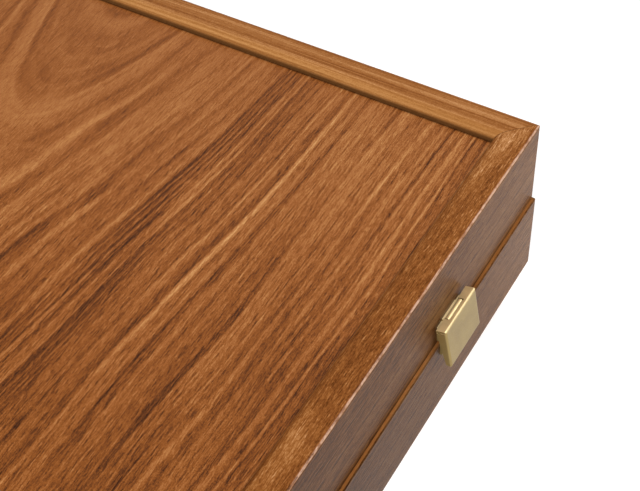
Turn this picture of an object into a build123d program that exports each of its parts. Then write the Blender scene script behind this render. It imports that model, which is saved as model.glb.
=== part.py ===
from build123d import *
import os
from math import cos, hypot, radians, sin, sqrt

# A folding backgammon case: two shallow wooden trays, hinged along one long side and held shut
# by two flap latches on the other. X runs along the latch side, +Y goes from the latch side to
# the hinge side and Z is up. The origin is on the table, under the middle of the closed case
# with its latches and hinges. All sizes are in millimetres.

# The closed case
case_length = 480.0
case_depth = 300.0
case_height = 64.0
seam_gap = 0.3
lid_setback = 1.2  # the upper half stands back from the lower one on the latch side

# Walls, with the raised rail that frames the outer panel
wall = 10.4
corner_round = 0.6
edge_round = 1.25
rail_ovolo = 3.0
panel_recess = 3.4

# Boards
panel_thickness = 4.0
groove_depth = 4.0
groove_fit = 0.2  # room left beyond the panel's edge, at the bottom of the groove
field_thickness = 3.0
board_fit = 0.2  # gap between a board or strip and the walls

# Checkers and dice
checker_diameter = 37.0
checker_thickness = 9.0
checker_edge_round = 1.6
checker_dish_radius = 11.5
checker_dish_depth = 0.7
checkers_per_side = 15
checker_gap = 0.1  # between neighbours, and under each checker
die_size = 14.0
die_edge_round = 1.8
pip_radius = 1.25
pip_depth = 0.6
pip_spread = 3.8
dice_apart = 22.0
dice_stagger = 8.8
dice_turns = (20, -32)
dice_from_partition = 26.9  # from the light checkers' partition to the middle of the pair

# Playing field
points_per_end = 6
point_length_in_checkers = 5
point_gap = 1.0
inlay_thickness = 0.8

# Rack along the latch side
rack_width = 40.0
rack_rail_thickness = 5.0
rack_rail_height = 16.0
rack_rail_round = 1.5
partition_thickness = 4.0
partition_round = 1.2
row_fit = 0.6  # spare length of a row of checkers in its bay

# Butt hinges
hinge_from_end = 90.0
hinge_length = 42.0
hinge_leaf_width = 9.0
hinge_leaf_thickness = 1.3
hinge_knuckles = 5
hinge_knuckle_radius = 2.2
hinge_knuckle_gap = 0.2
hinge_pin_radius = 1.0
hinge_pin_fit = 0.05
hinge_swing_room = 0.3
hinge_setback = 0.15  # from the back of the case to the hinge axis
mortise_fit = 0.1

# Countersunk hinge screws
screw_head_radius = 2.1
screw_shank_radius = 1.1
screw_length = 11.0
screw_fit = 0.05
screw_pitch = 14.0
screws_per_leaf = 3
screw_slot_length = 2.5
screw_slot_width = 0.5
screw_slot_depth = 0.5
countersink_angle = 90.0

# Latches
latch_from_end = 57.6
latch_width = 18.2
latch_height = 15.6
latch_depth = 3.3
latch_sheet = 0.7
latch_fold_round = 0.65
latch_tilt = 8.3  # the closed cover leans out at its foot
latch_pin_above_seam = 8.4
latch_pin_standoff = 1.8
latch_pin_radius = 0.45
latch_pin_fit = 0.05
latch_pin_below_top = 1.4
latch_pin_behind_front = 2.4
latch_flange_drop = 0.6  # the top flange falls this much towards the wall
latch_foot_depth = 1.9
latch_notch_width = 8.6
latch_notch_fit = 0.3
latch_notch_edge = 1.3
latch_corner_slit = 0.4
latch_slit_edge = 0.6
latch_barrel_radius = 0.95
latch_barrel_root = 0.5  # thickness of the strip that joins the barrel to the plate
latch_plate = 0.8
latch_plate_width = 14.0
latch_plate_round = 0.8
latch_base_above_seam = 0.7
latch_swing_room = 0.25
keeper_below_seam = 0.6
keeper_height = 4.8
keeper_nose_width = 5.0
keeper_nose_reach = 2.8
keeper_nose_drop = 2.0
keeper_nose_thickness = 1.1
keeper_nose_from_foot = 0.5
keeper_tip_round = 0.4

# Domed latch nails
nail_head_radius = 1.15
nail_head_height = 0.6
nail_shank_radius = 0.6
nail_length = 7.0
nail_fit = 0.04
nail_spacing = 9.6
base_nail_above_seam = 3.4
keeper_nail_below_seam = 2.9

# Places that follow from those sizes
half_height = (case_height - seam_gap) / 2
seam_level = case_height / 2
tray_depth = half_height - panel_recess - panel_thickness - field_thickness
cover_drop = latch_height - latch_pin_below_top
tilt = radians(latch_tilt)
latch_reach = (
    latch_pin_standoff
    + latch_pin_behind_front * cos(tilt)
    + cover_drop * sin(tilt)
    - lid_setback
)
hinge_reach = hinge_setback + hinge_knuckle_radius
case_middle = (latch_reach - hinge_reach) / 2
back_face = case_middle + case_depth / 2
front_face = {
    "lower": case_middle - case_depth / 2,
    "upper": case_middle - case_depth / 2 + lid_setback,
}
outward = {"lower": -1, "upper": 1}
halves = ["lower", "upper"]
sides = {"left": -1, "right": 1}

inner_length = case_length - 2 * wall
inner_back = back_face - wall
rack_rail_front = front_face["lower"] + wall + rack_width
field_front = rack_rail_front + rack_rail_thickness
field_width = inner_back - field_front
point_pitch = field_width / points_per_end
point_length = point_length_in_checkers * checker_diameter
point_base = inner_length / 2 - board_fit

hinge_axis_y = back_face + hinge_setback
hinge_x = {name: side * (case_length / 2 - hinge_from_end) for name, side in sides.items()}
leaf_front_edge = hinge_knuckle_radius + hinge_swing_room
mortise_length = hinge_length + 2 * mortise_fit
screw_row_y = hinge_axis_y - (hinge_leaf_width + leaf_front_edge) / 2
latch_x = {name: side * (case_length / 2 - latch_from_end) for name, side in sides.items()}
latch_pin_y = front_face["upper"] - latch_pin_standoff
latch_pin_z = seam_level + latch_pin_above_seam
latch_rear_corner = hypot(latch_depth - latch_pin_behind_front, latch_pin_below_top - latch_flange_drop)
latch_base_top = latch_pin_z - sqrt(
    (latch_rear_corner + latch_swing_room) ** 2 - (latch_pin_standoff - latch_plate) ** 2
)
latch_barrel_length = latch_notch_width - 2 * latch_notch_fit

checker_pitch = checker_thickness + checker_gap
row_length = checkers_per_side * checker_pitch + row_fit
partition_x = inner_length / 2 - row_length - partition_thickness / 2

os.makedirs("parts", exist_ok=True)


def level(half, depth):
    """Height above the table of a place at this depth from a half's rim."""
    return seam_level + outward[half] * (seam_gap / 2 + depth)


def write(builder, name):
    """Label a finished piece and write it under its own name."""
    builder.part.label = name
    export_step(builder.part, f"parts/{name}.step")


def middle_of_depth(half):
    """Middle of one half, from its latch side to the back of the case."""
    return (front_face[half] + back_face) / 2


def hinge_screw_places(half):
    """Places of a half's hinge screws, at the face of the leaves, pointing out of the wall."""
    facing = (0, 0, -outward[half])
    return [
        Plane(origin=(x + i * screw_pitch, screw_row_y, level(half, 0)), x_dir=(1, 0, 0), z_dir=facing)
        for x in hinge_x.values()
        for i in centred(screws_per_leaf)
    ]


def centred(count):
    """Whole steps either side of the middle, such as -1, 0, 1."""
    return [i - (count - 1) / 2 for i in range(count)]


def nail_places(half):
    """Places of a half's latch nails, at its front face, pointing out of the wall."""
    height = base_nail_above_seam if half == "upper" else -keeper_nail_below_seam
    return [
        Plane(
            origin=(x + side * nail_spacing / 2, front_face[half], seam_level + height),
            x_dir=(1, 0, 0),
            z_dir=(0, -1, 0),
        )
        for x in latch_x.values()
        for side in (-1, 1)
    ]


# Walls. Each is one profile, run along its side and mitred at both ends. In the profile, x goes
# from the outer face inwards and y from the rim to the rail.
def wall_profile():
    groove_top = half_height - panel_recess
    groove_bottom = groove_top - panel_thickness
    with BuildSketch() as profile:
        with BuildLine():
            Polyline((wall - groove_depth, groove_bottom), (wall, groove_bottom), (wall, 0), (0, 0))
            Line((0, 0), (0, half_height - edge_round))
            RadiusArc(
                (0, half_height - edge_round),
                (edge_round, half_height),
                edge_round,
            )
            Line((edge_round, half_height), (wall - rail_ovolo, half_height))
            RadiusArc(
                (wall - rail_ovolo, half_height),
                (wall, half_height - rail_ovolo),
                rail_ovolo,
            )
            Polyline(
                (wall, half_height - rail_ovolo),
                (wall, groove_top),
                (wall - groove_depth, groove_top),
                (wall - groove_depth, groove_bottom),
            )
        make_face()
    return profile.sketch


def wall_plane(half, name):
    """Plane across one wall, at its middle: x inwards, y from the rim to the rail."""
    inward = {"front": (0, 1, 0), "back": (0, -1, 0), "left": (1, 0, 0), "right": (-1, 0, 0)}[name]
    start = {
        "front": (0, front_face[half]),
        "back": (0, back_face),
        "left": (-case_length / 2, middle_of_depth(half)),
        "right": (case_length / 2, middle_of_depth(half)),
    }[name]
    along = Vector(*inward).cross(Vector(0, 0, outward[half]))
    return Plane(origin=(*start, level(half, 0)), x_dir=inward, z_dir=along)


def build_wall(half, name):
    plane = wall_plane(half, name)
    depth = back_face - front_face[half]
    run = case_length if name in ("front", "back") else depth
    with BuildPart() as piece:
        with BuildSketch(plane):
            add(wall_profile())
        extrude(amount=run / 2, both=True)
        for end in (-1, 1):
            corner = plane.origin + plane.z_dir * (end * run / 2)
            mitre = Plane(origin=corner, z_dir=plane.x_dir + plane.z_dir * end)
            split(bisect_by=mitre, keep=Keep.BOTTOM)
        with BuildSketch(Plane.XY.offset(level(half, 0))):
            with Locations((0, middle_of_depth(half))):
                RectangleRounded(case_length, depth, corner_round)
        extrude(amount=outward[half] * half_height, mode=Mode.INTERSECT)
        if name == "back":
            for x in hinge_x.values():
                with BuildSketch(Plane.XY.offset(level(half, 0))):
                    with Locations((x, hinge_axis_y)):
                        Rectangle(
                            mortise_length,
                            hinge_leaf_width + mortise_fit,
                            align=(Align.CENTER, Align.MAX),
                        )
                extrude(amount=outward[half] * hinge_leaf_thickness, mode=Mode.SUBTRACT)
                with BuildSketch(Plane.YZ.offset(x - mortise_length / 2)):
                    with Locations((hinge_axis_y, seam_level)):
                        Circle(leaf_front_edge)
                extrude(amount=mortise_length, mode=Mode.SUBTRACT)
            with Locations(*hinge_screw_places(half)):
                Hole(screw_shank_radius + screw_fit, screw_length + screw_fit)
        if name == "front":
            with Locations(*nail_places(half)):
                Hole(nail_shank_radius + nail_fit, nail_length + nail_fit)
    write(piece, f"{half}_{name}_wall")


# Outer panel, held in the grooves of all four walls.
def build_outer_panel(half):
    spare = 2 * (groove_depth - groove_fit - wall)
    with BuildPart() as panel:
        with BuildSketch(Plane.XY.offset(level(half, half_height - panel_recess - panel_thickness))):
            with Locations((0, middle_of_depth(half))):
                Rectangle(case_length + spare, back_face - front_face[half] + spare)
        extrude(amount=outward[half] * panel_thickness)
    write(panel, f"{half}_outer_panel")


# Playing field: a board over the whole floor of the tray, with pockets for the inlaid points.
def point_outline(end, index):
    """One point: its base against an end wall, its tip towards the middle of the board."""
    middle = field_front + (index + 0.5) * point_pitch
    half_base = (point_pitch - point_gap) / 2
    Polygon(
        (end * point_base, middle - half_base),
        (end * point_base, middle + half_base),
        (end * (point_base - point_length), middle),
        align=None,
    )


def point_places(shade):
    """Ends and places of the points of one shade: neighbours and facing points alternate."""
    odd = {"light": 0, "dark": 1}[shade]
    return [
        (end, index)
        for end in (-1, 1)
        for index in range(points_per_end)
        if (index + (end > 0)) % 2 == odd
    ]


def build_field(half):
    spare = 2 * (wall + board_fit)
    with BuildPart() as board:
        with BuildSketch(Plane.XY.offset(level(half, tray_depth))):
            with Locations((0, middle_of_depth(half))):
                Rectangle(case_length - spare, back_face - front_face[half] - spare)
        extrude(amount=outward[half] * field_thickness)
        with BuildSketch(Plane.XY.offset(level(half, tray_depth))):
            for place in point_places("light") + point_places("dark"):
                point_outline(*place)
        extrude(amount=outward[half] * inlay_thickness, mode=Mode.SUBTRACT)
    write(board, f"{half}_field_board")


def build_points(half, shade):
    with BuildPart() as points:
        with BuildSketch(Plane.XY.offset(level(half, tray_depth))):
            for place in point_places(shade):
                point_outline(*place)
        extrude(amount=outward[half] * inlay_thickness)
    write(points, f"{half}_{shade}_points")


# Rack: a long rail beside the field, and two partitions that close the bays of the checkers.
def build_rack(half):
    with BuildPart() as rail:
        with BuildSketch(Plane.XY.offset(level(half, tray_depth))):
            with Locations((0, rack_rail_front)):
                Rectangle(
                    inner_length - 2 * board_fit,
                    rack_rail_thickness,
                    align=(Align.CENTER, Align.MIN),
                )
        extrude(amount=-outward[half] * rack_rail_height)
        crown = rail.edges().filter_by(Axis.X).group_by(Axis.Z)[0 if half == "upper" else -1]
        fillet(crown, rack_rail_round)
    write(rail, f"{half}_rack_rail")

    inner_front = front_face[half] + wall
    with BuildPart() as partitions:
        with BuildSketch(Plane.XY.offset(level(half, tray_depth))):
            with Locations(*[(side * partition_x, inner_front + board_fit) for side in (-1, 1)]):
                Rectangle(
                    partition_thickness,
                    rack_rail_front - inner_front - board_fit,
                    align=(Align.CENTER, Align.MIN),
                )
        extrude(amount=-outward[half] * rack_rail_height)
        crown = partitions.edges().filter_by(Axis.Y).group_by(Axis.Z)[0 if half == "upper" else -1]
        fillet(crown, partition_round)
    write(partitions, f"{half}_rack_partitions")


# Checkers: turned discs with rounded rims and a shallow dish in each face, on edge in the rack.
with BuildPart() as one_checker:
    with BuildSketch(Plane.XY):
        with BuildLine():
            rim = checker_diameter / 2
            face = checker_thickness / 2
            Polyline((0, 0), (0, face - checker_dish_depth), (checker_dish_radius, face))
            Line((checker_dish_radius, face), (rim - checker_edge_round, face))
            RadiusArc((rim - checker_edge_round, face), (rim, face - checker_edge_round), checker_edge_round)
            Polyline((rim, face - checker_edge_round), (rim, 0), (0, 0))
        make_face()
    revolve(axis=Axis.Y)
    mirror(about=Plane.XZ)

checker_level = level("lower", tray_depth) + checker_gap + checker_diameter / 2
rack_middle = (front_face["lower"] + wall + rack_rail_front) / 2
for shade, side in {"light": -1, "dark": 1}.items():
    first = side * (inner_length / 2 - row_fit / 2 - checker_pitch / 2)
    with BuildPart() as row:
        for i in range(checkers_per_side):
            x = first - side * i * checker_pitch
            with Locations(Location((x, rack_middle, checker_level), (0, 0, 90))):
                add(one_checker.part)
    write(row, f"{shade}_checkers")


# Dice: cubes with rounded edges and drilled pips, 1 opposite 6, 2 opposite 5 and 3 opposite 4.
def pip_layout(count):
    s = pip_spread
    pairs = {2: [(s, s)], 3: [(s, s)], 4: [(s, s), (s, -s)], 5: [(s, s), (s, -s)]}
    pairs[6] = [(s, s), (s, 0), (s, -s)]
    pips = [(sign * x, sign * y) for x, y in pairs.get(count, []) for sign in (-1, 1)]
    return pips + [(0, 0)] * (count % 2)


with BuildPart() as one_die:
    Box(die_size, die_size, die_size)
    fillet(one_die.edges(), die_edge_round)
    ball = (pip_radius**2 + pip_depth**2) / (2 * pip_depth)
    faces = {1: (0, 0, 1), 6: (0, 0, -1), 2: (0, -1, 0), 5: (0, 1, 0), 3: (1, 0, 0), 4: (-1, 0, 0)}
    for count, facing in faces.items():
        face_plane = Plane(origin=Vector(*facing) * (die_size / 2 + ball - pip_depth), z_dir=facing)
        with Locations(face_plane):
            with Locations(*pip_layout(count)):
                Sphere(ball, mode=Mode.SUBTRACT)

with BuildPart() as dice:
    die_level = level("lower", tray_depth) + die_size / 2
    pair_middle = dice_from_partition + partition_thickness / 2 - partition_x
    near_die = (pair_middle - dice_apart / 2, rack_middle - dice_stagger / 2, die_level)
    far_die = (pair_middle + dice_apart / 2, rack_middle + dice_stagger / 2, die_level)
    with Locations(Location(near_die, (0, 0, dice_turns[0]))):
        add(one_die.part)
    with Locations(Location(far_die, (0, 0, dice_turns[1]))):
        add(one_die.part, rotation=(90, 0, 0))
write(dice, "dice")


# Butt hinges: leaves let into the rims, with interleaved knuckles round one pin.
def knuckle_spans(half):
    """Start and length of each knuckle that belongs to a half's leaf, along the hinge."""
    pitch = hinge_length / hinge_knuckles
    own = range(0, hinge_knuckles, 2) if half == "lower" else range(1, hinge_knuckles, 2)
    return [(i * pitch - hinge_length / 2 + hinge_knuckle_gap / 2, pitch - hinge_knuckle_gap) for i in own]


def build_leaf(side, half):
    x = hinge_x[side]
    leaf_level = level(half, 0)
    with BuildPart() as leaf:
        with BuildSketch(Plane.XY.offset(leaf_level)):
            with Locations((x, hinge_axis_y - leaf_front_edge)):
                Rectangle(hinge_length, hinge_leaf_width - leaf_front_edge, align=(Align.CENTER, Align.MAX))
            for start, length in knuckle_spans(half):
                with Locations((x + start, hinge_axis_y)):
                    Rectangle(length, leaf_front_edge, align=(Align.MIN, Align.MAX))
        extrude(amount=outward[half] * hinge_leaf_thickness)
        for start, length in knuckle_spans(half):
            with BuildSketch(Plane.YZ.offset(x + start)):
                with Locations((hinge_axis_y, seam_level)):
                    Circle(hinge_knuckle_radius)
            extrude(amount=length)
        with BuildSketch(Plane.YZ.offset(x - hinge_length / 2)):
            with Locations((hinge_axis_y, seam_level)):
                Circle(hinge_pin_radius + hinge_pin_fit)
        extrude(amount=hinge_length, mode=Mode.SUBTRACT)
        with Locations(*[p for p in hinge_screw_places(half) if abs(p.origin.X - x) < hinge_length / 2]):
            CounterSinkHole(
                screw_shank_radius + screw_fit,
                screw_head_radius + screw_fit,
                counter_sink_angle=countersink_angle,
            )
    write(leaf, f"{side}_hinge_{half}_leaf")


def build_hinge_pin(side):
    with BuildPart() as pin:
        with BuildSketch(Plane.YZ.offset(hinge_x[side] - hinge_length / 2)):
            with Locations((hinge_axis_y, seam_level)):
                Circle(hinge_pin_radius)
        extrude(amount=hinge_length)
    write(pin, f"{side}_hinge_pin")


# A countersunk screw, its head's face at the origin and its point down.
with BuildPart() as one_screw:
    with BuildSketch(Plane.XZ):
        with BuildLine():
            cone = screw_head_radius - screw_shank_radius
            Polyline(
                (0, 0),
                (screw_head_radius, 0),
                (screw_shank_radius, -cone),
                (screw_shank_radius, screw_shank_radius - screw_length),
                (0, -screw_length),
                (0, 0),
            )
        make_face()
    revolve(axis=Axis.Z)
    for turn in (0, 90):
        with Locations(Location((0, 0, 0), (0, 0, turn))):
            Box(
                screw_slot_length,
                screw_slot_width,
                screw_slot_depth,
                align=(Align.CENTER, Align.CENTER, Align.MAX),
                mode=Mode.SUBTRACT,
            )


def build_screws(half):
    with BuildPart() as screws:
        with Locations(*hinge_screw_places(half)):
            add(one_screw.part)
    write(screws, f"{half}_hinge_screws")


# Flap latches. The base is a plate nailed to the upper half above the seam. Its middle runs on
# up to the barrel, and the rest stops short, to clear the cover's top flange as it swings.
def build_latch_base(side):
    x = latch_x[side]
    wall_face = front_face["upper"]
    foot = seam_level + latch_base_above_seam
    root_top = latch_pin_z - latch_barrel_radius + latch_barrel_root
    with BuildPart() as base:
        with BuildSketch(Plane.XZ.offset(-wall_face)):
            with Locations((x, foot)):
                Rectangle(latch_plate_width, latch_base_top - foot, align=(Align.CENTER, Align.MIN))
        extrude(amount=latch_plate)
        fillet(base.edges().filter_by(Axis.Y), latch_plate_round)
        with BuildSketch(Plane.XZ.offset(-wall_face)):
            with Locations((x, foot)):
                Rectangle(latch_barrel_length, root_top - foot, align=(Align.CENTER, Align.MIN))
        extrude(amount=latch_plate)
        with BuildSketch(Plane.YZ.offset(x - latch_barrel_length / 2)):
            with Locations((latch_pin_y, latch_pin_z)):
                Circle(latch_barrel_radius)
            with Locations((latch_pin_y, root_top)):
                Rectangle(latch_pin_standoff, latch_barrel_root, align=(Align.MIN, Align.MAX))
        extrude(amount=latch_barrel_length)
        with BuildSketch(Plane.YZ.offset(x - latch_barrel_length / 2)):
            with Locations((latch_pin_y, latch_pin_z)):
                Circle(latch_pin_radius + latch_pin_fit)
        extrude(amount=latch_barrel_length, mode=Mode.SUBTRACT)
        with Locations(*[p for p in nail_places("upper") if abs(p.origin.X - x) < latch_width]):
            Hole(nail_shank_radius + nail_fit)
    write(base, f"{side}_latch_base")


def build_latch_pin(side):
    with BuildPart() as pin:
        with BuildSketch(Plane.YZ.offset(latch_x[side] - latch_width / 2)):
            with Locations((latch_pin_y, latch_pin_z)):
                Circle(latch_pin_radius)
        extrude(amount=latch_width)
    write(pin, f"{side}_latch_pin")


# The cover is a folded sheet, drawn on a plane through its pin: x along the pin, y up the cover
# and z out of its face. It has flanges on all four edges. The side ones taper to the foot.
def build_latch_cover(side):
    pin_plane = Plane(
        origin=(latch_x[side], latch_pin_y, latch_pin_z),
        x_dir=(1, 0, 0),
        z_dir=(0, -cos(tilt), sin(tilt)),
    )
    end_plane = Plane(
        origin=pin_plane.from_local_coords((-latch_width / 2, 0, 0)),
        x_dir=pin_plane.y_dir,
        z_dir=pin_plane.x_dir,
    )
    front = latch_pin_behind_front
    rear = front - latch_depth
    foot = -cover_drop
    foot_rear = front - latch_foot_depth
    with BuildPart() as cover:
        with BuildSketch(end_plane):
            Polygon(
                (foot, front),
                (latch_pin_below_top, front),
                (latch_pin_below_top - latch_flange_drop, rear),
                (foot, rear),
                align=None,
            )
        extrude(amount=latch_width)
        face_axis = Axis(pin_plane.origin, pin_plane.z_dir)
        fillet(cover.faces().sort_by(face_axis)[-1].edges(), latch_fold_round)
        offset(
            amount=-latch_sheet,
            openings=cover.faces().sort_by(face_axis)[0],
            kind=Kind.INTERSECTION,
        )
        taper = Plane(
            origin=pin_plane.from_local_coords((0, 0, rear)),
            x_dir=pin_plane.x_dir,
            z_dir=pin_plane.from_local_coords((0, foot_rear - rear, -foot)) - pin_plane.origin,
        )
        split(bisect_by=taper, keep=Keep.TOP)
        with BuildSketch(pin_plane.offset(rear)):
            with Locations((0, latch_pin_below_top)):
                Rectangle(
                    latch_notch_width,
                    2 * latch_sheet + latch_flange_drop,
                    align=(Align.CENTER, Align.MAX),
                )
        extrude(amount=latch_depth - latch_notch_edge, mode=Mode.SUBTRACT)
        slit_front = front - latch_slit_edge
        slit_drop = latch_flange_drop * latch_slit_edge / latch_depth
        with BuildSketch(end_plane):
            Polygon(
                (latch_pin_below_top - latch_sheet - slit_drop, slit_front),
                (latch_pin_below_top - latch_sheet - latch_flange_drop, rear),
                (latch_pin_below_top - latch_sheet - latch_flange_drop - latch_corner_slit, rear),
                (latch_pin_below_top - latch_sheet - slit_drop - latch_corner_slit, slit_front),
                align=None,
            )
        extrude(amount=latch_width, mode=Mode.SUBTRACT)
        with Locations(Plane(origin=pin_plane.origin, z_dir=(1, 0, 0))):
            Hole(latch_pin_radius + latch_pin_fit)
    write(cover, f"{side}_latch_cover")


# The keeper is a plate on the lower half with a hooked nose. The cover's foot comes under it.
def build_latch_keeper(side):
    x = latch_x[side]
    wall_face = front_face["lower"]
    top = seam_level - keeper_below_seam
    nose_foot = top - keeper_height + keeper_nose_from_foot
    with BuildPart() as keeper:
        with BuildSketch(Plane.XZ.offset(-wall_face)):
            with Locations((x, top)):
                Rectangle(latch_plate_width, keeper_height, align=(Align.CENTER, Align.MAX))
        extrude(amount=latch_plate)
        fillet(keeper.edges().filter_by(Axis.Y), latch_plate_round)
        with BuildSketch(Plane.YZ.offset(x - keeper_nose_width / 2)):
            Polygon(
                (wall_face, nose_foot + keeper_nose_drop + keeper_nose_thickness),
                (wall_face - keeper_nose_reach, nose_foot + keeper_nose_thickness),
                (wall_face - keeper_nose_reach, nose_foot),
                (wall_face, nose_foot),
                align=None,
            )
        extrude(amount=keeper_nose_width)
        tip = keeper.edges().filter_by(Axis.X).group_by(Axis.Y)[0]
        fillet(tip, keeper_tip_round)
        with Locations(*[p for p in nail_places("lower") if abs(p.origin.X - x) < latch_width]):
            Hole(nail_shank_radius + nail_fit)
    write(keeper, f"{side}_latch_keeper")


# A domed nail, the underside of its head at the origin and its point down.
with BuildPart() as one_nail:
    with BuildSketch(Plane.XZ):
        with BuildLine():
            Line((0, nail_head_height), (0, -nail_length))
            Polyline(
                (0, -nail_length),
                (nail_shank_radius, nail_shank_radius - nail_length),
                (nail_shank_radius, 0),
                (nail_head_radius, 0),
            )
            dome_radius = (nail_head_radius**2 + nail_head_height**2) / (2 * nail_head_height)
            RadiusArc((0, nail_head_height), (nail_head_radius, 0), dome_radius)
        make_face()
    revolve(axis=Axis.Z)


def build_nails(half, name):
    with BuildPart() as nails:
        with Locations(*[place.offset(latch_plate) for place in nail_places(half)]):
            add(one_nail.part)
    write(nails, name)


for half in halves:
    for wall_name in ("front", "back", "left", "right"):
        build_wall(half, wall_name)
    build_outer_panel(half)
    build_field(half)
    build_points(half, "light")
    build_points(half, "dark")
    build_rack(half)
    build_screws(half)

for side in sides:
    build_leaf(side, "lower")
    build_leaf(side, "upper")
    build_hinge_pin(side)
    build_latch_base(side)
    build_latch_pin(side)
    build_latch_cover(side)
    build_latch_keeper(side)

build_nails("upper", "latch_base_nails")
build_nails("lower", "latch_keeper_nails")
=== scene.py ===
# %% [markdown]
# # A walnut backgammon case
# The construction arrives finished: every wall, panel, hinge, latch, checker and die is already a
# real solid at its real size. What is left is what a photographer and a polisher would do:
# give each surface its wood, lacquer or metal, and light it.

# %% Load the case
import bpy
import math
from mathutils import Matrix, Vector


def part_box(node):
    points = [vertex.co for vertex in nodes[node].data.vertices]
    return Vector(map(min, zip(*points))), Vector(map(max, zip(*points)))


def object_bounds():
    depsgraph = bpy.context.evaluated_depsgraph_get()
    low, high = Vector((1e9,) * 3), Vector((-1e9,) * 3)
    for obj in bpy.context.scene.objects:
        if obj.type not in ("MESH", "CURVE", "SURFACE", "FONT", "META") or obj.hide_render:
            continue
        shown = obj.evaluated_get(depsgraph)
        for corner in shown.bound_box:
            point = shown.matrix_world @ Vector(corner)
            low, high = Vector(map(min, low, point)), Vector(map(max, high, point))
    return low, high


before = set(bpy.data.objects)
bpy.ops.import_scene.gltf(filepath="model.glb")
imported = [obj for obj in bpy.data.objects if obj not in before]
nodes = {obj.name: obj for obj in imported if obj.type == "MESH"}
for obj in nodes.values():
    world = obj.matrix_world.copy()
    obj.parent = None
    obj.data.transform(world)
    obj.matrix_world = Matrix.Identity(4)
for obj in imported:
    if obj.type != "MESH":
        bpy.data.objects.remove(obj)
cad_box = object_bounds()
print("loaded", len(nodes), "pieces; the case measures",
      [round(1000 * (high - low), 1) for low, high in zip(*cad_box)], "mm")

# %% [markdown]
# Two small helpers carry the whole script. Colours are picked as sRGB hex values, as in any paint
# program, but a renderer adds light up, so it needs them linear. And every material is a small web of
# nodes, so one function adds a node, gives it its settings and plugs in its inputs.

# %% Colour and node helpers
MM = 0.001


def linear(colour):
    """An sRGB hex colour as linear red, green, blue and alpha."""
    channels = [int(colour[i:i + 2], 16) / 255 for i in (1, 3, 5)]
    return tuple(c / 12.92 if c <= 0.04045 else ((c + 0.055) / 1.055) ** 2.4 for c in channels) + (1.0,)


def add(tree, kind, inputs=None, stops=None, **settings):
    """Add a node. Nodes and sockets among its inputs become links, other inputs become values."""
    made = tree.nodes.new("ShaderNode" + kind)
    for name, value in settings.items():
        setattr(made, name, value)
    for name, value in (inputs or {}).items():
        if isinstance(value, bpy.types.Node):
            value = next(socket for socket in value.outputs if socket.enabled)
        if isinstance(value, bpy.types.NodeSocket):
            tree.links.new(value, made.inputs[name])
        else:
            made.inputs[name].default_value = value
    if stops:
        ramp = made.color_ramp.elements
        while len(ramp) < len(stops):
            ramp.new(1.0)
        for element, (place, colour) in zip(ramp, stops):
            element.position = place
            element.color = linear(colour)
    return made


def new_material(name):
    """An empty material and its node tree."""
    material = bpy.data.materials.new(name)
    material.use_nodes = True
    material.node_tree.nodes.clear()
    return material, material.node_tree


def wear(material, *names):
    """Put a material on CAD pieces, in place of the one they came with."""
    for name in names:
        slots = nodes[name].data.materials
        slots.clear()
        slots.append(material)


print("mid grey #808080 is", round(linear("#808080")[0], 3), "in linear light")

# %% [markdown]
# The camera stands where the photographer stood: close, above the latch side, looking down on the
# front right corner. Its place is measured from the sharp corner of the upper rail, which the
# picture shows, and its lens is a plain 62 mm one, so the case keeps the picture's perspective.

# %% Camera
corner = Vector((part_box("upper_front_wall")[1].x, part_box("upper_front_wall")[0].y, cad_box[1].z))
camera_from_corner = Vector((-228.78, -84.08, 232.0)) * MM
camera_turn = (40.065, 3.942, -58.116)
lens = 62.37

camera_data = bpy.data.cameras.new("camera")
camera_data.lens = lens
camera_data.sensor_width = 36.0
camera_data.clip_start = 10 * MM
camera = bpy.data.objects.new("camera", camera_data)
camera.location = corner + camera_from_corner
camera.rotation_euler = [math.radians(a) for a in camera_turn]
bpy.context.scene.collection.objects.link(camera)
bpy.context.scene.camera = camera
print("camera", [round(1000 * c) for c in camera.location], "mm, lens", lens, "mm")

# %% [markdown]
# A catalogue picture like this is taken in a white sweep, and the paper is bright enough to go white
# in the picture. The paper is one plain plane, and the sky over it is a plain pale grey.

# %% Floor and sky
bpy.ops.object.select_all(action="DESELECT")
floor_size = 8.0
bpy.ops.mesh.primitive_plane_add(size=floor_size, location=(0, 0, 0))
floor = bpy.context.object
floor.name = "studio_floor"
paper, tree = new_material("seamless_paper")
surface = add(tree, "BsdfPrincipled", {
    "Base Color": linear("#FAFAF9"), "Roughness": 0.9,
    "Emission Color": linear("#FFFFFF"), "Emission Strength": 0.2,
})
add(tree, "OutputMaterial", {"Surface": surface})
floor.data.materials.append(paper)

world = bpy.data.worlds.new("studio")
bpy.context.scene.world = world
world.use_nodes = True
world.node_tree.nodes.clear()
sky = add(world.node_tree, "Background", {"Color": linear("#FDFDFF"), "Strength": 0.5})
add(world.node_tree, "OutputWorld", {"Surface": sky})
bpy.context.scene.view_settings.view_transform = "Standard"
print("floor of", floor_size, "m under a pale sky")

# %% [markdown]
# The key softbox hangs over the front left: it reaches the rounded inner edge of the far rail, and
# the top can't mirror it into the lens. A weaker one fills in from the right, and a white card
# stands behind on the right, for the brass to mirror. All three face one point inside the case,
# about halfway up.

# %% Lights
aim = Vector((0.1, -0.05, 0.03))
softboxes = {  # place in metres, side in metres, power in watts
    "key_softbox": ((-0.85, -0.45, 1.1), 0.6, 15.0),
    "fill_softbox": ((0.66, -0.5, 1.05), 0.55, 4.0),
    "white_card": ((1.1, 0.55, 1.15), 1.1, 3.0),
}
for name, (place, size, power) in softboxes.items():
    lamp = bpy.data.lights.new(name, "AREA")
    lamp.shape = "SQUARE"
    lamp.size = size
    lamp.energy = power
    light = bpy.data.objects.new(name, lamp)
    light.location = place
    light.rotation_euler = (aim - Vector(place)).to_track_quat("-Z", "Y").to_euler()
    bpy.context.scene.collection.objects.link(light)
print("lit by", ", ".join(softboxes))

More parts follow.
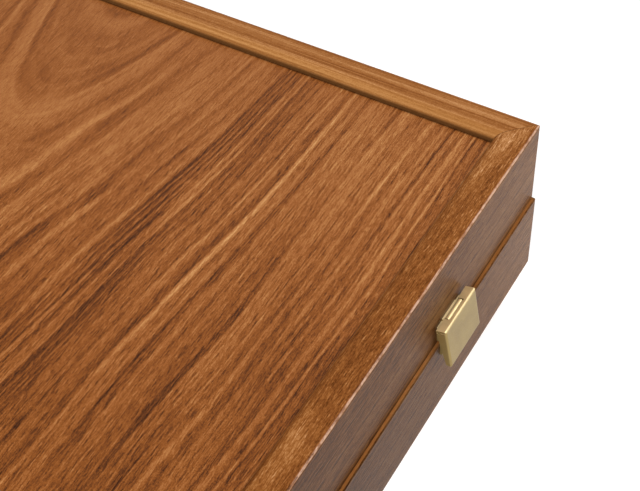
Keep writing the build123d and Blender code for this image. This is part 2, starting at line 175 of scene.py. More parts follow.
# %% [markdown]
# Walnut. A board is a slice through a tree, and the pattern on it is the tree's, cut across. So the
# wood is made in the tree's own space, in millimetres, with the trunk along X. A board is turned and
# tilted in that space and set at some distance from the heart. The points and the checkers are many
# small pieces in one node. They lie in a row, and each step along it moves the space on, as if every
# piece came from another cut.

# %% Place in the tree
next_cut = (53, 17, 31)  # how far on in the tree the next piece of a row is cut, in millimetres


def in_the_tree(tree, coordinates, turn, tilt, heart, row):
    """Object coordinates as a place in the tree, in millimetres."""
    space = add(tree, "Mapping", {
        "Vector": coordinates.outputs["Object"], "Scale": [1 / MM] * 3,
        "Rotation": (0, math.radians(tilt), math.radians(turn)), "Location": heart,
    })
    if row:
        axis, start, pitch, piece_turn = row
        split = add(tree, "SeparateXYZ", {0: coordinates.outputs["Object"]})
        number = add(tree, "Math", {0: split.outputs[axis], 1: start * MM}, operation="SUBTRACT")
        number = add(tree, "Math", {0: number, 1: pitch * MM}, operation="DIVIDE")
        number = add(tree, "Math", {0: number}, operation="FLOOR")
        angle = add(tree, "Math", {0: number, 1: piece_turn}, operation="MULTIPLY")
        space = add(tree, "VectorRotate", {"Vector": space, "Axis": (1, 0, 0), "Angle": angle})
        space = add(tree, "VectorMath", {0: number, 1: next_cut, 2: space}, operation="MULTIPLY_ADD")
    return space


def stretched_noise(tree, space, size, detail=1.0):
    """Noise whose marks have the given size in millimetres along, across and through the trunk."""
    shrunk = add(tree, "VectorMath", {0: space, 1: [1 / s for s in size]}, operation="MULTIPLY")
    return add(tree, "TexNoise", {"Vector": shrunk, "Scale": 1.0, "Detail": detail})


print("each piece of a row is cut", next_cut, "mm on in the tree")

# %% [markdown]
# Growth rings. Where a slice passes near the heart the rings open into arches, and further out they
# run on as almost straight stripes. The one number behind that is the distance to the heart, bent a
# little, because no trunk is straight. Along it, each year's ring darkens slowly and ends sharply.
# Rings fade in and out, and a run of poor years shows as a band of close dark lines.

# %% Growth rings
late_wood = (
    (0.0, "#000000"), (0.45, "#000000"), (0.82, "#B0B0B0"), (0.93, "#FFFFFF"), (1.0, "#000000"),
)
long_bend, short_bend = (90, 45, 45), (60, 8, 8)  # the sizes of the trunk's bends, in millimetres
ring_patch = (140, 12, 12)  # the size of the patches in which rings are strong or faint
uneven_years = 2.2  # by how many rings the years run ahead, at most
mid_tone = 0.5


def growth_rings(tree, space, wander, ring_width, rings, lean):
    """The distance to the heart in millimetres, and the tone that the rings give."""
    bent = space
    for size, amount in ((long_bend, wander), (short_bend, wander / 6)):
        wave = stretched_noise(tree, space, size)
        bent = add(tree, "VectorMath", {0: wave.outputs["Color"], 1: (0, amount, amount), 2: bent},
                   operation="MULTIPLY_ADD")
    across = add(tree, "VectorMath", {0: bent, 1: (0, 1, 1)}, operation="MULTIPLY")
    ring = add(tree, "VectorMath", {0: across}, operation="LENGTH")

    ahead = add(tree, "TexNoise", {"W": ring, "Scale": 0.05, "Detail": 0.0}, noise_dimensions="1D")
    years = add(tree, "Math", {0: ring, 1: ring_width}, operation="DIVIDE")
    years = add(tree, "Math", {0: ahead, 1: uneven_years, 2: years}, operation="MULTIPLY_ADD")
    season = add(tree, "Math", {0: years}, operation="FRACT")
    late = add(tree, "ValToRGB", {0: season}, stops=late_wood)
    patch = stretched_noise(tree, space, ring_patch)
    depth = add(tree, "MapRange", {"Value": patch, "From Min": 0.36, "From Max": 0.6,
                                   "To Min": -0.1 * rings, "To Max": -rings},
                interpolation_type="SMOOTHSTEP")
    tone = add(tree, "Math", {0: late, 1: depth, 2: mid_tone + 0.12 * rings}, operation="MULTIPLY_ADD")
    if lean:
        distance, width = lean
        away = add(tree, "Math", {0: ring, 1: distance}, operation="SUBTRACT")
        away = add(tree, "Math", {0: away}, operation="ABSOLUTE")
        fine = add(tree, "TexNoise", {"W": ring, "Scale": 1.1, "Detail": 1.0}, noise_dimensions="1D")
        fine = add(tree, "MapRange", {"Value": fine, "From Min": 0.35, "From Max": 0.6,
                                      "To Min": -0.21, "To Max": 0.02})
        near = add(tree, "MapRange", {"Value": away, "From Min": width, "From Max": width * 0.4},
                   interpolation_type="SMOOTHSTEP")
        tone = add(tree, "Math", {0: near, 1: fine, 2: tone}, operation="MULTIPLY_ADD")
    return ring, tone


darkest = next(place for place, colour in late_wood if colour == "#FFFFFF")
print("a ring is darkest at", darkest, "of its width")

# %% [markdown]
# The grain on top. The layers that follow are drawn along the rings, as bands and fine lines, or
# along the fibres, as strokes, open pores and a faint mottling. Each adds to one tone from 0, dark,
# to 1, light, and a ramp of real wood colours paints it. The finest pores of walnut are under 0.2 mm
# wide. Here they are about 0.3 mm, so that they show from this distance.

# %% Wood grain
def grain(tree, tones, layers, turn=0.0, tilt=0.0, heart=(0, 0, 0), wander=6.0, ring_width=6.2,
          rings=0.3, lean=None, drift=None, quiet=None, row=None):
    """The wood's colour and its tone.

    heart = where in the tree the case's origin lies, in mm: the heart itself is at Y = 0 and Z = 0.
    lean = (distance from the heart, width) of a run of poor years, whose rings are dark and close.
    drift = (direction, where it starts and ends in mm, the tone added at each): a slow change of tone.
    quiet = the same for how strong the figure is: 1 leaves it as it is, less makes it plainer.
    row = (axis, start, pitch, turn): pieces side by side along an axis, each from another cut,
    turned about X.

    A layer is what it follows, its size in mm, the noise it starts and ends at, its tone there, and
    the size of the patches that it comes and goes in.
    """
    coordinates = add(tree, "TexCoord")
    space = in_the_tree(tree, coordinates, turn, tilt, heart, row)
    ring, tone = growth_rings(tree, space, wander, ring_width, rings, lean)
    for follows, size, (start, end), (low, high), patch in layers:
        if follows == "rings":
            noise = add(tree, "TexNoise", {"W": ring, "Scale": 1 / size, "Detail": 2.0, "Roughness": 0.6},
                        noise_dimensions="1D")
        else:
            noise = stretched_noise(tree, space, size)
        layer = add(tree, "MapRange", {"Value": noise, "From Min": start, "From Max": end,
                                       "To Min": low, "To Max": high})
        if patch:
            share = add(tree, "MapRange", {"Value": stretched_noise(tree, space, patch),
                                           "From Min": 0.4, "From Max": 0.6},
                        interpolation_type="SMOOTHSTEP")
            layer = add(tree, "Math", {0: layer, 1: share}, operation="MULTIPLY")
        tone = add(tree, "Math", {0: tone, 1: layer}, operation="ADD")

    def slowly(direction, reach, ends):
        """A value that changes slowly along a direction, from where it starts to where it ends."""
        along = add(tree, "VectorMath", {0: coordinates.outputs["Object"], 1: direction},
                    operation="DOT_PRODUCT")
        return add(tree, "MapRange", {"Value": along, "From Min": reach[0] * MM, "From Max": reach[1] * MM,
                                      "To Min": ends[0], "To Max": ends[1]})

    if quiet:
        figure = add(tree, "Math", {0: tone, 1: mid_tone}, operation="SUBTRACT")
        tone = add(tree, "Math", {0: figure, 1: slowly(*quiet), 2: mid_tone}, operation="MULTIPLY_ADD")
    if drift:
        tone = add(tree, "Math", {0: tone, 1: slowly(*drift)}, operation="ADD")
    colour = add(tree, "ValToRGB", {0: tone}, stops=tones)
    return colour, tone


# %% [markdown]
# Wood is lacquered, not bare. A thin satin lacquer lies over it, and the open grain still shows in
# it as a very low relief, so the tone serves twice: as colour, and as height.

# %% Lacquer
def lacquer(tree, colour, relief, roughness=0.34, shine=0.2, depth=0.05):
    """A thin satin lacquer. The dark grain lies lower than the light, by depth in millimetres."""
    bump = add(tree, "Bump", {"Height": relief, "Strength": 1.0, "Distance": depth * MM})
    shader = add(tree, "BsdfPrincipled", {
        "Base Color": colour, "Roughness": roughness, "Normal": bump, "IOR": 1.46,
        "Specular IOR Level": shine,
    })
    add(tree, "OutputMaterial", {"Surface": shader})


def wood(name, tones, layers, **cut):
    """A lacquered wood in one step."""
    material, tree = new_material(name)
    lacquer(tree, *grain(tree, tones, layers, **cut))
    return material


# %% [markdown]
# The outer panels are one wide sheet of veneer each, so their grain runs the long way of the case.
# Under the upper one the heart of the tree lies near the middle: by the latches the stripes are
# straight, and they open out towards the middle. The lower one is cut a little further out. Both are
# lightest at the right end, and plainer in the corner at the back there.

# %% Veneer
walnut_tones = (
    (0.0, "#371C0D"), (0.22, "#613517"), (0.4, "#82491D"), (0.5, "#8F5527"), (0.6, "#9B6032"),
    (0.78, "#B17844"), (1.0, "#C99660"),
)
panel_layers = (
    ("rings", 8.0, (0.3, 0.7), (-0.03, 0.03), None),
    ("rings", 2.3, (0.3, 0.7), (-0.12, 0.12), (300, 25, 25)),
    ("rings", 2.0, (0.3, 0.7), (-0.08, 0.08), None),
    ("rings", 0.9, (0.3, 0.7), (-0.11, 0.11), (200, 12, 12)),
    ("rings", 1.2, (0.56, 0.61), (0.0, -0.14), (180, 8, 8)),
    ("rings", 1.3, (0.58, 0.64), (0.0, 0.10), (120, 8, 8)),
    ("fibres", (50, 12, 12), (0.3, 0.7), (-0.05, 0.05), None),
    ("fibres", (150, 0.6, 0.6), (0.57, 0.63), (0.0, -0.13), None),
    ("fibres", (90, 0.5, 0.5), (0.58, 0.64), (0.0, 0.09), None),
    ("fibres", (60, 0.35, 0.35), (0.3, 0.7), (-0.09, 0.09), None),
    ("fibres", (2.2, 0.3, 0.3), (0.57, 0.64), (0.0, -0.12), None),
    ("fibres", (1.6, 0.3, 0.3), (0.59, 0.65), (0.0, 0.09), None),
    ("fibres", (0.4, 0.3, 0.3), (0.3, 0.7), (-0.10, 0.10), None),
)
panel_hearts = {"upper": (0, 7.3, 38.6), "lower": (300, 70, 110)}
poor_years = (107.6, 8)
lighter_end = ((0.94, 0.34, 0), (50, 140), (-0.123, 0.03))
plainer_corner = ((0.7, 0.7, 0), (75, 125), (1.0, 0.6))
print("veneer of", len(panel_layers), "layers over the rings")

# %% [markdown]
# Many finishes and painted shades depend on how far in from the outer faces a spot lies. Folding the case
# onto one quarter with an absolute value gives that distance for all four walls at once.

# %% Distances on the case
half_length = cad_box[1].x
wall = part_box("upper_right_wall")[1].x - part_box("upper_right_wall")[0].x
seam = (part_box("lower_front_wall")[1].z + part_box("upper_front_wall")[0].z) / 2


def from_outside(tree, half):
    """Distances in from the outer faces of one half, at its ends and long sides, and the height."""
    front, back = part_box(f"{half}_front_wall")[0].y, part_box(f"{half}_back_wall")[1].y
    coordinates = add(tree, "TexCoord")
    centred = add(tree, "VectorMath", {0: coordinates.outputs["Object"], 1: (0, (front + back) / 2, 0)},
                  operation="SUBTRACT")
    folded = add(tree, "VectorMath", {0: centred}, operation="ABSOLUTE")
    inward = add(tree, "VectorMath", {0: (half_length, (back - front) / 2, 0), 1: folded},
                 operation="SUBTRACT")
    split = add(tree, "SeparateXYZ", {0: inward})
    return split.outputs[0], split.outputs[1], add(tree, "SeparateXYZ", {0: centred}).outputs[2]


print("walls", round(1000 * wall, 1), "mm thick, seam", round(1000 * seam, 1), "mm up")

# %% [markdown]
# A thin dark line of painted shade runs all round the corner where the panel goes under the rails.
# It is the first use of those distances.

# %% Outer panels
# a near-black brown, for painted shade and for the mitre's dark joint
shade_and_joint_dark = linear("#241006")
for half, heart in panel_hearts.items():
    veneer, tree = new_material(f"walnut_veneer_{half}_panel")
    colour, tone = grain(tree, walnut_tones, panel_layers, turn=-3.4, tilt=5.7, heart=heart, rings=0.24,
                         lean=poor_years, drift=lighter_end, quiet=plainer_corner)
    ends, long_sides, _ = from_outside(tree, half)
    inward = add(tree, "Math", {0: ends, 1: long_sides}, operation="MINIMUM")
    # painted shade: a thin dark line where the panel goes under the rails
    corner_shade = add(tree, "MapRange", {"Value": inward, "From Min": wall + 0.9 * MM,
                                         "From Max": wall + 0.1 * MM, "To Max": 0.75},
                      interpolation_type="SMOOTHSTEP")
    colour = add(tree, "Mix", {0: corner_shade, 6: colour, 7: shade_and_joint_dark}, data_type="RGBA")
    lacquer(tree, colour, tone, shine=0.08)
    wear(veneer, f"{half}_outer_panel")
    print("veneered the", half, "outer panel")

# %% [markdown]
# The walls are strips, each cut from another place, with the grain along the strip. At the corners
# they meet in a mitre, so the grain turns a right angle there and a hairline shows. Their outer
# faces are painted darker and greyer than the rails: painted shade and painted sheen for faces that
# stand upright. On the long sides that painted shade deepens away from the corners, and more so on
# the lower half. The long edge between rail and outer face is worn light, with a painted highlight
# over the wear, and the rim that closes on the other half is bare orange wood.

# %% Colours of the walls
rail_tones = (
    (0.0, "#331809"), (0.22, "#5B3111"), (0.4, "#79451D"), (0.5, "#875124"), (0.6, "#955E2F"),
    (0.78, "#B37D4C"), (1.0, "#D3A277"),
)
# painted shade and sheen: a darker, greyer copy of the rail's tones for the outer faces
shaded_outer_tones = (
    (0.0, "#2A1409"), (0.3, "#452612"), (0.42, "#5D381B"), (0.5, "#6D4520"), (0.58, "#744B2A"),
    (0.75, "#805A36"), (1.0, "#8D6642"),
)
rail_layers = (
    ("rings", 8.0, (0.3, 0.7), (-0.03, 0.03), None),
    ("rings", 1.5, (0.3, 0.7), (-0.11, 0.11), None),
    ("rings", 1.3, (0.58, 0.66), (0.0, -0.20), (40, 5, 5)),
    ("rings", 0.7, (0.3, 0.7), (-0.07, 0.07), None),
    ("fibres", (12, 1.0, 1.0), (0.3, 0.7), (-0.05, 0.05), None),
    ("fibres", (3.0, 0.3, 0.3), (0.3, 0.7), (-0.14, 0.14), None),
    ("fibres", (2.6, 0.28, 0.28), (0.58, 0.7), (0.0, 0.20), None),
    ("fibres", (0.6, 0.35, 0.35), (0.3, 0.7), (-0.10, 0.10), None),
)
bare_wood = linear("#8E5A2E")
# worn light, with a painted highlight over the wear
worn_edge_and_highlight = linear("#CFA78C")
# painted light on the rounded inner edge, the ovolo
ovolo_light_colour = linear("#C68F50")
ovolo = 3.0 * MM
rail_depth = 4.5 * MM
# painted shade on the long outer faces: how far from the corners it reaches and how dark it gets on each
# half
side_shade_reach = 130 * MM
side_shade_depth = {"upper": 0.3, "lower": 0.5}
middle_to_table = seam - cad_box[0].z
print("ovolo", round(1000 * ovolo, 1), "mm, seam to table", round(1000 * middle_to_table, 1), "mm")

# %% [markdown]
# Which colour a spot on a wall gets, its own or painted light and shade, is found from its distances and
# from which way it faces, as amounts from 0 to 1. Each pair of limits below is the soft border of one of
# them. First come the outer face, painted in shade and sheen, and the rim, whose border with the shaded
# outer colour lies just inside the outer edge.

# %% Outer face and rim
def outer_face_and_rim(tree, inward, from_seam, steep):
    """How much of the outer face, painted in shade and sheen, and of the bare rim shows."""
    outside = add(tree, "MapRange", {"Value": inward, "From Min": 1.5 * MM, "From Max": 1.3 * MM})
    upright = add(tree, "MapRange", {"Value": steep, "From Min": 0.5, "From Max": 0.25})
    by_seam = add(tree, "MapRange", {"Value": from_seam, "From Min": 0.6 * MM, "From Max": 0.45 * MM})
    rim_in_outer_colour = add(tree, "MapRange", {"Value": inward, "From Min": 0.6 * MM, "From Max": 0.45 * MM})
    rim_in_outer_colour = add(tree, "Math", {0: rim_in_outer_colour, 1: by_seam}, operation="MULTIPLY")
    upright = add(tree, "Math", {0: upright, 1: rim_in_outer_colour}, operation="MAXIMUM")
    outer = add(tree, "Math", {0: outside, 1: upright}, operation="MULTIPLY")
    bare = add(tree, "Math", {0: 1.0, 1: rim_in_outer_colour}, operation="SUBTRACT")
    rim = add(tree, "Math", {0: bare, 1: by_seam}, operation="MULTIPLY")
    rim = add(tree, "Math", {0: rim, 1: 0.75}, operation="MULTIPLY")
    return outer, rim


# %% [markdown]
# Then the edges of the rail that stands round the panel. Hands have worn its outer edge light, in
# uneven chafed spots, with a painted highlight over the wear, and its rounded inner edge is painted
# golden, as painted light on the ovolo. Both are weaker where the grain is dark, so they are
# multiplied by the tone, and neither is found below the rail.

# %% Edges of the rail
def edge_wear_and_light(tree, inward, from_seam, steep, place, tone, wear_and_highlight, ovolo_brightness):
    """How worn and highlit the outer edge is, how much painted light the inner edge gets, and whether a spot
    is beside the panel.
    """
    beside_panel = add(tree, "MapRange", {"Value": from_seam, "From Min": middle_to_table - rail_depth,
                                          "From Max": middle_to_table - rail_depth + 0.5 * MM})
    chafing = add(tree, "TexNoise", {"Vector": place, "Scale": 1 / (3 * MM), "Detail": 2.0})
    chafing = add(tree, "MapRange", {"Value": chafing, "From Min": 0.4, "From Max": 0.55, "To Min": 0.35})
    # the worn light outer edge, with a painted highlight over the wear
    worn_and_highlit = add(tree, "MapRange", {"Value": inward, "From Min": 0.6 * MM, "From Max": 0.4 * MM,
                                  "To Max": wear_and_highlight})
    standing = add(tree, "MapRange", {"Value": steep, "From Min": 0.3, "From Max": 0.5})
    for share in (tone, standing, chafing, beside_panel):
        worn_and_highlit = add(tree, "Math", {0: worn_and_highlit, 1: share}, operation="MULTIPLY")
    # painted light on the rounded inner edge, the ovolo
    ovolo_lit = add(tree, "MapRange", {"Value": inward, "From Min": wall - ovolo,
                                    "From Max": wall - 0.4 * ovolo, "To Max": ovolo_brightness})
    for share in (tone, beside_panel):
        ovolo_lit = add(tree, "Math", {0: ovolo_lit, 1: share}, operation="MULTIPLY")
    return worn_and_highlit, ovolo_lit, beside_panel


# %% [markdown]
# Last come the dark lines, the mitre's hairline and a painted shade along the foot of the ovolo, and the
# wall is put
# together: one colour after another, painted light and shade among them, is mixed over the rail's own wood.

# %% Walls and rails
def wall_material(half, side, number, layers, wear_and_highlight, ovolo_brightness, drift, quiet=None):
    """One wall: rail, worn and highlit outer edge, painted light on the ovolo, outer face in painted shade
    and sheen, bare rim, the mitre's hairline and painted shade at the ovolo's foot.

    wear_and_highlight = how worn and highlit its outer edge is, ovolo_brightness = how much painted light
    its inner edge gets.
    """
    material, tree = new_material(f"walnut_{half}_{side}_wall")
    turn = 0 if side in ("front", "back") else 90
    heart = (137 * number + (61 if half == "lower" else 0), 153 + 50 * number, 150)
    colour, tone = grain(tree, rail_tones, layers, turn=turn, heart=heart, wander=3.0, rings=0.12,
                         drift=drift, quiet=quiet)
    ends, long_sides, height = from_outside(tree, half)
    inward = add(tree, "Math", {0: ends, 1: long_sides}, operation="MINIMUM")
    from_seam = add(tree, "Math", {0: height, 1: seam}, operation="SUBTRACT")
    from_seam = add(tree, "Math", {0: from_seam}, operation="ABSOLUTE")
    facing = add(tree, "TexCoord")
    steep = add(tree, "VectorMath", {0: facing.outputs["Normal"]}, operation="ABSOLUTE")
    steep = add(tree, "SeparateXYZ", {0: steep}).outputs[2]

    outer, rim = outer_face_and_rim(tree, inward, from_seam, steep)
    worn_and_highlit, ovolo_lit, beside_panel = edge_wear_and_light(
        tree, inward, from_seam, steep, facing.outputs["Object"], tone, wear_and_highlight, ovolo_brightness)
    apart = add(tree, "Math", {0: ends, 1: long_sides}, operation="SUBTRACT")
    apart = add(tree, "Math", {0: apart}, operation="ABSOLUTE")
    mitre = add(tree, "MapRange", {"Value": apart, "From Min": 0.2 * MM, "From Max": 0.05 * MM,
                                   "To Max": 0.6})
    # painted shade along the foot of the ovolo, beside the panel
    foot_shade = add(tree, "MapRange", {"Value": inward, "From Min": wall - 0.35 * MM,
                                  "From Max": wall - 0.05 * MM, "To Max": 0.7})
    foot_shade = add(tree, "Math", {0: foot_shade, 1: beside_panel}, operation="MULTIPLY")
    shade = add(tree, "Math", {0: mitre, 1: foot_shade}, operation="MAXIMUM")

    # painted shade and sheen: the outer faces take a darker, greyer copy of the wood
    shaded_outer = add(tree, "ValToRGB", {0: tone}, stops=shaded_outer_tones)
    # painted shade that deepens away from the corners of the long sides
    side_shade_amount = add(tree, "MapRange", {"Value": ends, "From Min": 0.0, "From Max": side_shade_reach,
                                    "To Max": side_shade_depth[half]})
    shaded_outer = add(tree, "Mix", {0: side_shade_amount, 6: shaded_outer, 7: shade_and_joint_dark}, data_type="RGBA")
    # painted shade, sheen, highlight and ovolo light go on here together with the bare rim and the mitre's
    # dark joint
    wall_overlays = ((outer, shaded_outer), (ovolo_lit, ovolo_light_colour), (worn_and_highlit, worn_edge_and_highlight), (rim, bare_wood), (shade, shade_and_joint_dark))
    for amount, overlay_colour in wall_overlays:
        colour = add(tree, "Mix", {0: amount, 6: colour, 7: overlay_colour}, data_type="RGBA")
    lacquer(tree, colour, tone, roughness=0.3, shine=0.03)
    return material


along_front, along_side = ((1, 0, 0), (60, 240)), ((0, 1, 0), (-150, 150))
strips = {  # layers, how worn and highlit, how much painted light on the ovolo, drift and, for the calmest strip, quiet
    "front": (rail_layers, 1.9, 0.0, (*along_front, (-0.07, 0.07))),
    "back": (panel_layers, 0.5, 0.6, (*along_front, (0.0, 0.02))),
    "left": (panel_layers, 0.5, 0.6, (*along_side, (-0.02, 0.0))),
    "right": (panel_layers, 0.5, 0.5, (*along_side, (0.12, 0.12)), (*along_side, (0.6, 0.6))),
}
for half in ("upper", "lower"):
    for number, (side, strip) in enumerate(strips.items()):
        wear(wall_material(half, side, number, *strip), f"{half}_{side}_wall")
    print("finished the", half, "walls:", ", ".join(strips))

# %% [markdown]
# The field boards are a darker walnut veneer than the lid's, so that the light points stand out on
# it. Maple is nearly plain, with a faint silky figure. Wenge has fine, even, almost black lines.

# %% Woods of the playing fields
field_tones = (
    (0.0, "#24130A"), (0.3, "#482B17"), (0.5, "#663F24"), (0.7, "#7E5533"), (1.0, "#9E7650"),
)
maple_tones = (
    (0.0, "#9E7444"), (0.3, "#C79D68"), (0.5, "#D8B27C"), (0.7, "#E3C491"), (1.0, "#F0DAB0"),
)
wenge_tones = (
    (0.0, "#0B0705"), (0.3, "#1C120D"), (0.5, "#2A1B14"), (0.7, "#3D2A1F"), (1.0, "#5A4232"),
)
maple_layers = (
    ("rings", 2.6, (0.3, 0.7), (-0.06, 0.06), None),
    ("fibres", (30, 6, 6), (0.3, 0.7), (-0.08, 0.08), None),
    ("fibres", (6, 9, 9), (0.4, 0.6), (-0.04, 0.04), None),
    ("fibres", (12, 0.6, 0.6), (0.56, 0.66), (0.0, -0.12), None),
    ("fibres", (2.0, 0.3, 0.3), (0.3, 0.7), (-0.05, 0.05), None),
)
wenge_layers = (
    ("rings", 0.8, (0.35, 0.65), (-0.16, 0.16), None),
    ("rings", 3.0, (0.3, 0.7), (-0.08, 0.08), None),
    ("fibres", (20, 0.5, 0.5), (0.55, 0.65), (0.0, 0.20), None),
    ("fibres", (3.0, 0.3, 0.3), (0.3, 0.7), (-0.10, 0.10), None),
)
print("maple of", len(maple_layers), "layers, wenge of", len(wenge_layers))

# %% [markdown]
# The points reach in from the two ends, and each is its own sliver of maple or wenge with the grain
# along it, so each gets another piece of the pattern: the row setting counts them from front to back.

# %% Playing fields
points_per_side = 6
field_starts = {"upper": 40, "lower": 260}  # how far along the trunk each half is cut, in millimetres
for half, start in field_starts.items():
    points = [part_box(f"{half}_{shade}_points") for shade in ("light", "dark")]
    nearest, furthest = min(low.y for low, _ in points), max(high.y for _, high in points)
    pitch = (furthest - nearest) / points_per_side
    point_row = (1, 1000 * nearest, 1000 * pitch, 0.0)
    print(half, "points stand every", round(1000 * pitch, 1), "mm")
    wear(wood(f"walnut_field_{half}", field_tones, panel_layers, heart=(start, 150, 60), rings=0.25),
         f"{half}_field_board")
    wear(wood(f"maple_points_{half}", maple_tones, maple_layers, heart=(start, 90, 140), rings=0.10,
              row=point_row), f"{half}_light_points")
    wear(wood(f"wenge_points_{half}", wenge_tones, wenge_layers, heart=(start, 90, 140), rings=0.08,
              row=point_row), f"{half}_dark_points")
    for piece, turn in (("rack_rail", 0), ("rack_partitions", 90)):
        wear(wood(f"walnut_{half}_{piece}", rail_tones, rail_layers, turn=turn, heart=(start, 170, 120),
                  wander=3.0, rings=0.12), f"{half}_{piece}")

# %% [markdown]
# Checkers are turned from a rod on a lathe, sawn off it as slices and polished in a drum, so each
# face is a cut across the tree and each rim shows the grain side on. No two lie the same way in the
# rack: the row setting gives every checker its own cut and its own turn about the row's line, 137
# degrees on from the last, so that no turn comes twice in a row of fifteen.

# %% Checkers
checker_pitch = 9.1
row_lead = 0.05  # the row is counted from just before the first checker, in millimetres
golden_turn = math.radians(137)
ebony_tones = (
    (0.0, "#100906"), (0.3, "#23150D"), (0.5, "#331F13"), (0.7, "#472D1C"), (1.0, "#6B4930"),
)
checker_woods = {
    "light_checkers": (maple_tones, maple_layers), "dark_checkers": (ebony_tones, wenge_layers),
}
for name, (tones, layers) in checker_woods.items():
    low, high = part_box(name)
    turned_wood, tree = new_material("polished_" + name)
    middle = [-1000 * (a + b) / 2 for a, b in zip(low, high)]
    colour, tone = grain(tree, tones, layers, heart=(0, middle[1], middle[2]), wander=3.0, rings=0.14,
                         row=(0, 1000 * low.x - row_lead, checker_pitch, golden_turn))
    lacquer(tree, colour, tone, roughness=0.24, shine=0.5, depth=0.02)
    wear(turned_wood, name)
    print(name, "stand", round(1000 * (high.z - low.z), 1), "mm high in a row",
          round(1000 * (high.x - low.x), 1), "mm long")

# %% [markdown]
# The latches are pressed from brass sheet and given a satin finish with fine grit, then clear
# lacquer. Grit that fine (under 0.1 mm) is drawn 0.3 mm coarse, as a bump and as uneven gloss. What
# faces up is painted brighter, as painted light from above, and a brown tarnish lies over all of it in
# faint clouds. The lacquer takes some of the mirror away, so Metallic is 0.6 here, where bare brass
# would have 1. The hinges are the same metal left more golden and brushed along their length, and the
# screws and nails are polished.

# %% Brass
tarnish = linear("#6B5430")
gloss_spread = 0.07  # how far the marks of the finishing move the roughness up and down


def brass(name, dull, lit_top_colour, roughness, grit, tarnish_amount):
    """Brass sheet. grit = size in mm of the marks that its finishing leaves, along X, Y and Z."""
    material, tree = new_material(name)
    coordinates = add(tree, "TexCoord")
    facing = add(tree, "SeparateXYZ", {0: coordinates.outputs["Normal"]})
    # painted light: faces turned up get the brighter colour
    painted_top_light = add(tree, "MapRange", {"Value": facing.outputs[2], "From Min": 0.2, "From Max": 0.9})
    colour = add(tree, "Mix", {0: painted_top_light, 6: linear(dull), 7: linear(lit_top_colour)}, data_type="RGBA")
    stain = add(tree, "TexNoise", {"Vector": coordinates.outputs["Object"], "Scale": 1 / (5 * MM),
                                   "Detail": 3.0})
    stain = add(tree, "MapRange", {"Value": stain, "From Min": 0.42, "From Max": 0.7,
                                   "To Max": tarnish_amount})
    colour = add(tree, "Mix", {0: stain, 6: colour, 7: tarnish}, data_type="RGBA")
    marks = add(tree, "Mapping", {"Vector": coordinates.outputs["Object"],
                                  "Scale": [1 / (s * MM) for s in grit]})
    marks = add(tree, "TexNoise", {"Vector": marks, "Scale": 1.0, "Detail": 2.0})
    gloss = add(tree, "MapRange", {"Value": marks, "From Min": 0.3, "From Max": 0.7,
                                   "To Min": roughness - gloss_spread, "To Max": roughness + gloss_spread})
    bump = add(tree, "Bump", {"Height": marks, "Strength": 0.35, "Distance": 0.02 * MM})
    shader = add(tree, "BsdfPrincipled", {"Base Color": colour, "Metallic": 0.6, "Roughness": gloss,
                                          "Normal": bump})
    add(tree, "OutputMaterial", {"Surface": shader})
    return material


# the second colour of each brass is painted light on what faces up
satin_brass = brass("satin_brass", "#98814D", "#FFE2A8", 0.4, (0.3, 0.3, 0.3), 0.25)
hinge_brass = brass("brushed_brass", "#A88A48", "#D3B570", 0.34, (4.0, 0.25, 0.25), 0.35)
polished_brass = brass("polished_brass", "#B2934E", "#E0C27C", 0.22, (0.6, 0.6, 0.6), 0.2)
for name in nodes:
    if name.endswith(("nails", "screws")):
        wear(polished_brass, name)
    elif "hinge" in name:
        wear(hinge_brass, name)
    elif "latch" in name:
        wear(satin_brass, name)
print("brass on", sum("hinge" in name or "latch" in name for name in nodes), "pieces")

# %% [markdown]
# The dice are ivory acrylic, drilled with shallow round pips that are filled with dark paint. To
# find the pips, a spot is first told in the coordinates of its own die. The two dice are one node,
# so the sign of X, seen from the middle between them, says which die it is, and that gives its
# centre and the angle it was rolled to.

# %% Coordinates of each die
die_size, edge_round = 14.0 * MM, 1.8 * MM
dice_turns = (20, -32)
dice_step = Vector((11.0, 4.4, 0)) * MM
turns = [math.radians(a) for a in dice_turns]
reaches = [(die_size / 2 - edge_round) * (math.cos(abs(a)) + math.sin(abs(a))) for a in turns]
low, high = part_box("dice")
uneven = (reaches[1] - reaches[0]) / 2
pair_middle = (low + high) / 2 - Vector((uneven, uneven, 0))
acrylic, tree = new_material("ivory_acrylic")
coordinates = add(tree, "TexCoord")
local = add(tree, "VectorMath", {0: coordinates.outputs["Object"], 1: pair_middle}, operation="SUBTRACT")
which = add(tree, "SeparateXYZ", {0: local})
which = add(tree, "Math", {0: which.outputs[0]}, operation="SIGN")
local_step = add(tree, "VectorMath", {0: which, 1: dice_step}, operation="MULTIPLY")
local = add(tree, "VectorMath", {0: local, 1: local_step}, operation="SUBTRACT")
angle = add(tree, "Math", {0: which, 1: math.radians(dice_turns[0] - dice_turns[1]) / 2,
                           2: -math.radians(sum(dice_turns)) / 2}, operation="MULTIPLY_ADD")
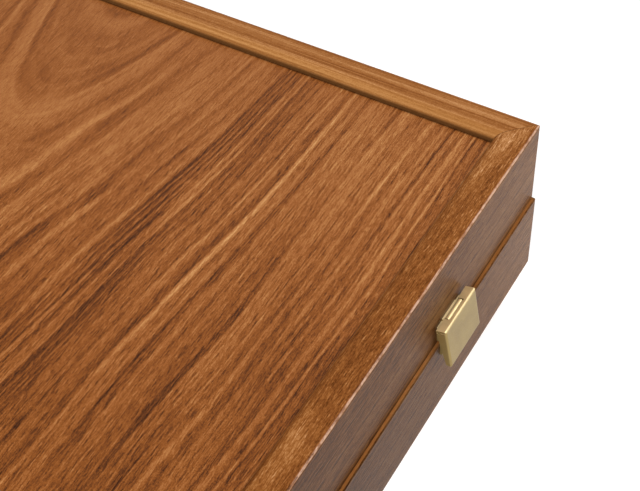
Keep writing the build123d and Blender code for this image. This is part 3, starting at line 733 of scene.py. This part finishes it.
local = add(tree, "VectorRotate", {"Vector": local, "Angle": angle}, rotation_type="Z_AXIS")
local = add(tree, "VectorMath", {0: local}, operation="ABSOLUTE")
print("two dice about", [round(1000 * c, 1) for c in pair_middle], "mm")

# %% [markdown]
# On a die's flat faces the largest of its three coordinates is always half its size, and in a pip it
# is less. It is less on the rounded edges too, but there two coordinates are large, not one. So two
# simple tests find the pips. The paint is cut 0.1 mm below the face, which leaves a clean rim.

# %% Dice
sides = add(tree, "SeparateXYZ", {0: local})
largest = add(tree, "Math", {0: sides.outputs[0], 1: sides.outputs[1]}, operation="MAXIMUM")
largest = add(tree, "Math", {0: largest, 1: sides.outputs[2]}, operation="MAXIMUM")
sunken = add(tree, "MapRange", {"Value": largest, "From Min": die_size / 2 - 0.08 * MM,
                                "From Max": die_size / 2 - 0.16 * MM})
flat_reach = die_size / 2 - edge_round + 0.02 * MM
beyond = add(tree, "VectorMath", {0: local, 1: [flat_reach] * 3}, operation="SUBTRACT")
beyond = add(tree, "VectorMath", {0: beyond}, operation="SIGN")
beyond = add(tree, "VectorMath", {0: beyond, 1: (1, 1, 1)}, operation="DOT_PRODUCT")
one_only = add(tree, "Math", {0: beyond.outputs["Value"], 1: 0.0}, operation="LESS_THAN")
pip = add(tree, "Math", {0: sunken, 1: one_only}, operation="MULTIPLY")
cloud = add(tree, "TexNoise", {"Vector": coordinates.outputs["Object"], "Scale": 1 / (9 * MM),
                               "Detail": 2.0})
ivory = add(tree, "ValToRGB", {0: cloud}, stops=((0.35, "#E9DDC2"), (0.65, "#F3EBD8")))
colour = add(tree, "Mix", {0: pip, 6: ivory, 7: linear("#1B1512")}, data_type="RGBA")
gloss = add(tree, "MapRange", {"Value": cloud, "From Min": 0.3, "From Max": 0.7,
                               "To Min": 0.16, "To Max": 0.24})
shader = add(tree, "BsdfPrincipled", {"Base Color": colour, "Roughness": gloss, "IOR": 1.49})
add(tree, "OutputMaterial", {"Surface": shader})
wear(acrylic, "dice")
print("dice of", round(1000 * die_size, 1), "mm with painted pips")
